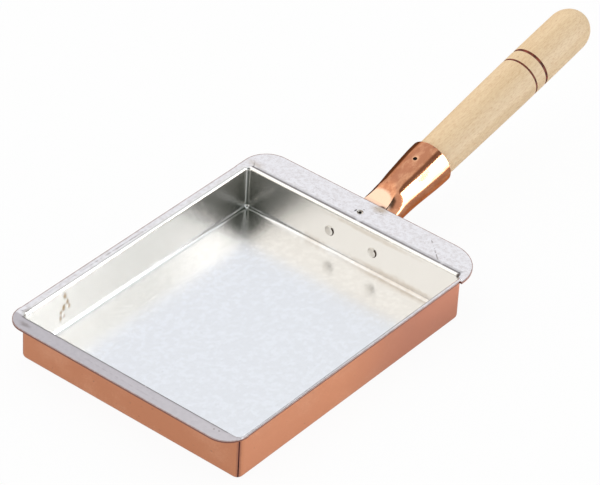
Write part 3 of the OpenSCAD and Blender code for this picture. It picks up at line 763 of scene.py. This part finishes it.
# Floor, light and camera
studio = {
    "floorSize": 6.0,
    "floorDrop": 0.00002,                   # the floor lies this far under the pan
    "floorTone": 0.9,
    "floorSeen": 0.94,                      # share of plain white that the camera sees
    "floorGlow": 8.0,                       # what metal mirrors beside the ferrule
    "glowSlant": 0.40,                      # the glow's edge leans this much from the Y axis
    "glowEdge": (0.040, 0.052),
    "glowStart": (0.165, 0.185),
    "behindEdge": (-0.015, -0.03),          # the dimmer floor to the left of the handle
    "behindDim": 0.45,
    "besideEdge": (0.010, 0.004),           # and between it and the glow
    "besideDim": 0.38,
    "dimStart": (0.135, 0.150),
    "skyCool": (0.98, 1.01, 1.06, 1),       # what the pan's floor mirrors
    "skyBright": [      # direction, soft edge, colour: what the back wall and the left wall mirror
        ((-0.488, -0.640, 0.594), (0.45, 0.9), (1.38, 1.36, 1.30, 1)),
        ((0.488, 0.640, 0.594), (0.45, 0.9), (1.00, 1.03, 1.02, 1)),
    ],
    "skyLow": (0.20, 0.17, 0.16, 1),        # the dim horizon beyond the table
    "lowHeight": (0.26, 0.06),
    "lowTowards": ((-0.61, 0.79, 0), (0.15, 0.6)),
    "skyDark": [        # the edge over the strip, and the unlit end of the studio behind the viewer
        ((0.45, 0.34, 0.826), (0.968, 0.992), (0.30, 0.25, 0.22, 1)),
        ((0.488, -0.640, 0.594), (0.82, 0.95), (0.022, 0.036, 0.024, 1)),
    ],
    "stripPlace": Vector((2.30, 1.36, 1.10)),
    "stripTarget": Vector((0, 0.14, 0.75)),
    "stripSize": (0.50, 2.7),
    "stripPower": 66.0,
    "lens": 216.0,
    "sensor": 36.0,
    "cameraPlace": (1.09435946, -1.38248193, 1.37677661),
    "cameraRight": (0.77318762, 0.63246326, 0.04659542),
    "cameraUp": (-0.40540038, 0.43642629, 0.80323261),
    "cameraBack": (0.48767965, -0.63993931, 0.59384025),
}


def makeFloor():
    mesh = bmesh.new()
    bmesh.ops.create_grid(mesh, x_segments=1, y_segments=1, size=studio["floorSize"] / 2,
                          matrix=Matrix.Translation((0, 0, -studio["floorDrop"])))
    data = bpy.data.meshes.new("studioFloor")
    mesh.to_mesh(data)
    mesh.free()
    floor = bpy.data.objects.new("studioFloor", data)
    bpy.context.scene.collection.objects.link(floor)
    made, tree, shader, place = startMaterial("paleFloor")
    tree.nodes.remove(shader)
    ray = addNode(tree, "ShaderNodeLightPath").outputs
    level = studio["floorTone"]
    diffuse = addNode(tree, "ShaderNodeBsdfDiffuse", {"Color": (level, level, level, 1)}).outputs[0]
    glow = addNode(tree, "ShaderNodeEmission", {"Color": (1, 1, 1, 1)})
    # metal mirrors a brighter floor beside the ferrule and a dimmer one behind it
    at = addNode(tree, "ShaderNodeSeparateXYZ", {0: place}).outputs
    beyond = maths(tree, "SUBTRACT", at["X"], maths(tree, "MULTIPLY", at["Y"], studio["glowSlant"]))
    farther = span(tree, at["Y"], *studio["dimStart"])
    lit = maths(tree, "MULTIPLY", span(tree, beyond, *studio["glowEdge"]),
                span(tree, at["Y"], *studio["glowStart"]))
    behind = maths(tree, "MULTIPLY", span(tree, at["X"], *studio["behindEdge"]), farther)
    beside = maths(tree, "MULTIPLY", span(tree, beyond, *studio["besideEdge"]), farther)
    dim = maths(tree, "ADD", maths(tree, "MULTIPLY", behind, studio["behindDim"]),
                maths(tree, "MULTIPLY", beside, studio["besideDim"]))
    change = maths(tree, "SUBTRACT", maths(tree, "MULTIPLY", lit, studio["floorGlow"]), dim)
    strength = maths(tree, "ADD", maths(tree, "MULTIPLY", change, ray["Is Glossy Ray"]), 1.0)
    tree.links.new(strength, glow.inputs["Strength"])
    mirrored = maths(tree, "MULTIPLY", ray["Is Glossy Ray"], span(tree, behind, 0.0, 1.0, 0.7, 1.0))
    seen = maths(tree, "MULTIPLY", ray["Is Camera Ray"], studio["floorSeen"])
    mixed = addNode(tree, "ShaderNodeMixShader", {0: maths(tree, "ADD", seen, mirrored), 1: diffuse,
                                                  2: glow.outputs[0]}).outputs[0]
    tree.links.new(mixed, tree.nodes["Material Output"].inputs["Surface"])
    data.materials.append(made)


def makeWorld():
    world = bpy.data.worlds.new("paleStudio")
    bpy.context.scene.world = world
    world.use_nodes = True
    tree = world.node_tree
    direction = addNode(tree, "ShaderNodeTexCoord").outputs["Generated"]

    def towards(way, edge):
        return span(tree, vectors(tree, "DOT_PRODUCT", direction, way, "Value"), *edge)

    colour = studio["skyCool"]
    for way, edge, tone in studio["skyBright"]:
        colour = mixColour(tree, towards(way, edge), colour, tone)
    height = addNode(tree, "ShaderNodeSeparateXYZ", {0: direction}).outputs["Z"]
    low = maths(tree, "MULTIPLY", span(tree, height, *studio["lowHeight"]), towards(*studio["lowTowards"]))
    colour = mixColour(tree, low, colour, studio["skyLow"])
    for way, edge, tone in studio["skyDark"]:
        colour = mixColour(tree, towards(way, edge), colour, tone)
    seen = addNode(tree, "ShaderNodeLightPath").outputs["Is Camera Ray"]
    tree.links.new(mixColour(tree, seen, colour, (1, 1, 1, 1)), tree.nodes["Background"].inputs["Color"])


def makeStrip():
    lamp = bpy.data.lights.new("sideStrip", "AREA")
    lamp.shape = "RECTANGLE"
    lamp.size, lamp.size_y = studio["stripSize"]
    lamp.energy = studio["stripPower"]
    strip = bpy.data.objects.new("sideStrip", lamp)
    strip.rotation_mode = "QUATERNION"
    strip.rotation_quaternion = (studio["stripPlace"] - studio["stripTarget"]).to_track_quat("Z", "Y")
    strip.location = studio["stripPlace"]
    strip.visible_camera = False
    strip.visible_diffuse = False
    bpy.context.scene.collection.objects.link(strip)


def makeCamera():
    lens = bpy.data.cameras.new("studioCamera")
    lens.lens, lens.sensor_width, lens.sensor_fit = studio["lens"], studio["sensor"], "HORIZONTAL"
    lens.clip_start, lens.clip_end = 0.1, 20.0
    camera = bpy.data.objects.new("studioCamera", lens)
    turned = Matrix((studio["cameraRight"], studio["cameraUp"], studio["cameraBack"])).transposed().to_4x4()
    camera.matrix_world = Matrix.Translation(studio["cameraPlace"]) @ turned
    bpy.context.scene.collection.objects.link(camera)
    bpy.context.scene.camera = camera


makeFloor()
makeWorld()
makeStrip()
makeCamera()
bpy.context.scene.view_settings.view_transform = "Standard"
print("studio made")
